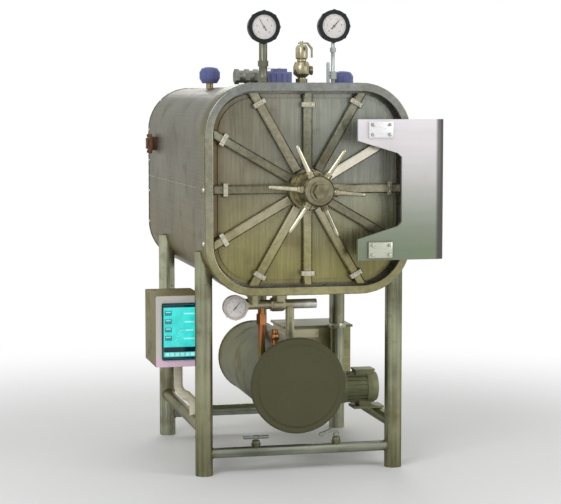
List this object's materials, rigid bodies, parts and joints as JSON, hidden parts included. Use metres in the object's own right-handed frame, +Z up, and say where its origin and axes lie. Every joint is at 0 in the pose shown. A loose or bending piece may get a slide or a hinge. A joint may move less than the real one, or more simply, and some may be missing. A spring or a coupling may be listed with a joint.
{
  "type": "retort sterilizer",
  "caption": "Pilot retort sterilizer: rounded-square steam chamber on a tube frame, side-hung door with radial locking arms, boiler and feed tank below, gauges on top.",
  "frame": {"origin": "centre of the plan on the floor", "axes": "+Z up, -Y to the front where the door is, +X to the hinge side"},
  "size_m": [0.844, 1.3052, 1.443],
  "materials": {
    "stainless": "satin",
    "bright_steel": "polished",
    "dull_steel": "satin",
    "yoke_steel": "satin",
    "seal_rubber": "matte",
    "brown_cap": "satin",
    "cover_paint": "matte",
    "brass": "satin",
    "copper": "satin",
    "panel_paint": "satin",
    "screen_frame": "gloss",
    "conduit_plastic": "matte",
    "gauge_black": "satin",
    "blue_paint": "satin",
    "blue_plastic": "satin"
  },
  "bodies": {
    "root": {"door_collar": "stainless", "mouth_flange": "stainless", "inner_chamber": "stainless", "chamber_back": "stainless", "jacket_upper": "stainless", "jacket_lower": "stainless", "back_cover": "stainless", "door_lip": "bright_steel", "hinge_brackets": "dull_steel", "legs": "dull_steel", "side_rails": "dull_steel", "rear_rail": "dull_steel", "drain_pipe": "dull_steel", "boiler_shell": "dull_steel", "boiler_hanger": "dull_steel", "feed_pump": "dull_steel", "steam_main": "dull_steel", "feed_tank": "dull_steel", "control_box": "dull_steel", "control_bracket": "dull_steel", "control_valve": "dull_steel", "gauge_stems": "dull_steel", "door_seal": "seal_rubber", "side_nozzle": "brown_cap", "boiler_cover": "cover_paint", "drain_cocks": "brass", "try_cock": "brass", "gauge_cases": "gauge_black", "safety_valve": "brass", "vent_stubs": "brass", "copper_pipe": "copper", "control_panel": "panel_paint", "touch_screen": "screen_frame", "conduit": "conduit_plastic", "valve_actuator": "blue_paint", "vent_knobs": "blue_plastic"},
    "door": {"door_plate": "stainless", "arm_guides": "bright_steel", "hub_housing": "dull_steel", "door_yoke": "yoke_steel", "yoke_posts": "dull_steel"},
    "handwheel": {"handwheel": "bright_steel"},
    "cock_tee": {"cock_tee": "bright_steel"},
    "cock_lever": {"cock_lever": "dull_steel"},
    "arm_01": {"arm_01": "bright_steel"},
    "arm_02": {"arm_02": "bright_steel"},
    "arm_03": {"arm_03": "bright_steel"},
    "arm_04": {"arm_04": "bright_steel"},
    "arm_05": {"arm_05": "bright_steel"},
    "arm_06": {"arm_06": "bright_steel"},
    "arm_07": {"arm_07": "bright_steel"},
    "arm_08": {"arm_08": "bright_steel"},
    "arm_09": {"arm_09": "bright_steel"},
    "arm_10": {"arm_10": "bright_steel"},
    "arm_11": {"arm_11": "bright_steel"},
    "arm_12": {"arm_12": "bright_steel"}
  },
  "joints": [
    {"name": "door_hinge", "type": "hinge", "parent": "root", "child": "door", "pos_m": [0.388, -0.50735, 0.888], "axis": [0, 0, 1], "range_deg": [0, 115]},
    {"name": "handwheel_turn", "type": "hinge", "parent": "door", "child": "handwheel", "pos_m": [0.018, -0.59735, 0.888], "axis": [0, 1, 0], "range_deg": [0, 90]},
    {"name": "cock_tee_turn", "type": "hinge", "parent": "root", "child": "cock_tee", "pos_m": [-0.122, -0.38235, 0.107], "axis": [0, 0, 1], "range_deg": [0, 90]},
    {"name": "cock_lever_turn", "type": "hinge", "parent": "root", "child": "cock_lever", "pos_m": [0.136, -0.38235, 0.107], "axis": [0, 0, 1], "range_deg": [0, 90]},
    {"name": "arm_01_slide", "type": "slide", "parent": "door", "child": "arm_01", "axis": [0.5, 0, 0.866], "range_m": [0, 0.018]},
    {"name": "arm_02_slide", "type": "slide", "parent": "door", "child": "arm_02", "axis": [0.866, 0, 0.5], "range_m": [0, 0.018]},
    {"name": "arm_03_slide", "type": "slide", "parent": "door", "child": "arm_03", "axis": [1, 0, 0], "range_m": [0, 0.018]},
    {"name": "arm_04_slide", "type": "slide", "parent": "door", "child": "arm_04", "axis": [0.866, 0, -0.5], "range_m": [0, 0.018]},
    {"name": "arm_05_slide", "type": "slide", "parent": "door", "child": "arm_05", "axis": [0.5, 0, -0.866], "range_m": [0, 0.018]},
    {"name": "arm_06_slide", "type": "slide", "parent": "door", "child": "arm_06", "axis": [0, 0, -1], "range_m": [0, 0.018]},
    {"name": "arm_07_slide", "type": "slide", "parent": "door", "child": "arm_07", "axis": [-0.5, 0, -0.866], "range_m": [0, 0.018]},
    {"name": "arm_08_slide", "type": "slide", "parent": "door", "child": "arm_08", "axis": [-0.866, 0, -0.5], "range_m": [0, 0.018]},
    {"name": "arm_09_slide", "type": "slide", "parent": "door", "child": "arm_09", "axis": [-1, 0, 0], "range_m": [0, 0.018]},
    {"name": "arm_10_slide", "type": "slide", "parent": "door", "child": "arm_10", "axis": [-0.866, 0, 0.5], "range_m": [0, 0.018]},
    {"name": "arm_11_slide", "type": "slide", "parent": "door", "child": "arm_11", "axis": [-0.5, 0, 0.866], "range_m": [0, 0.018]},
    {"name": "arm_12_slide", "type": "slide", "parent": "door", "child": "arm_12", "axis": [0, 0, 1], "range_m": [0, 0.018]}
  ],
  "couplings": [
    {"joint": "arm_01_slide", "follows": "handwheel_turn", "m_per_rad": 0.011459},
    {"joint": "arm_02_slide", "follows": "handwheel_turn", "m_per_rad": 0.011459},
    {"joint": "arm_03_slide", "follows": "handwheel_turn", "m_per_rad": 0.011459},
    {"joint": "arm_04_slide", "follows": "handwheel_turn", "m_per_rad": 0.011459},
    {"joint": "arm_05_slide", "follows": "handwheel_turn", "m_per_rad": 0.011459},
    {"joint": "arm_06_slide", "follows": "handwheel_turn", "m_per_rad": 0.011459},
    {"joint": "arm_07_slide", "follows": "handwheel_turn", "m_per_rad": 0.011459},
    {"joint": "arm_08_slide", "follows": "handwheel_turn", "m_per_rad": 0.011459},
    {"joint": "arm_09_slide", "follows": "handwheel_turn", "m_per_rad": 0.011459},
    {"joint": "arm_10_slide", "follows": "handwheel_turn", "m_per_rad": 0.011459},
    {"joint": "arm_11_slide", "follows": "handwheel_turn", "m_per_rad": 0.011459},
    {"joint": "arm_12_slide", "follows": "handwheel_turn", "m_per_rad": 0.011459}
  ]
}
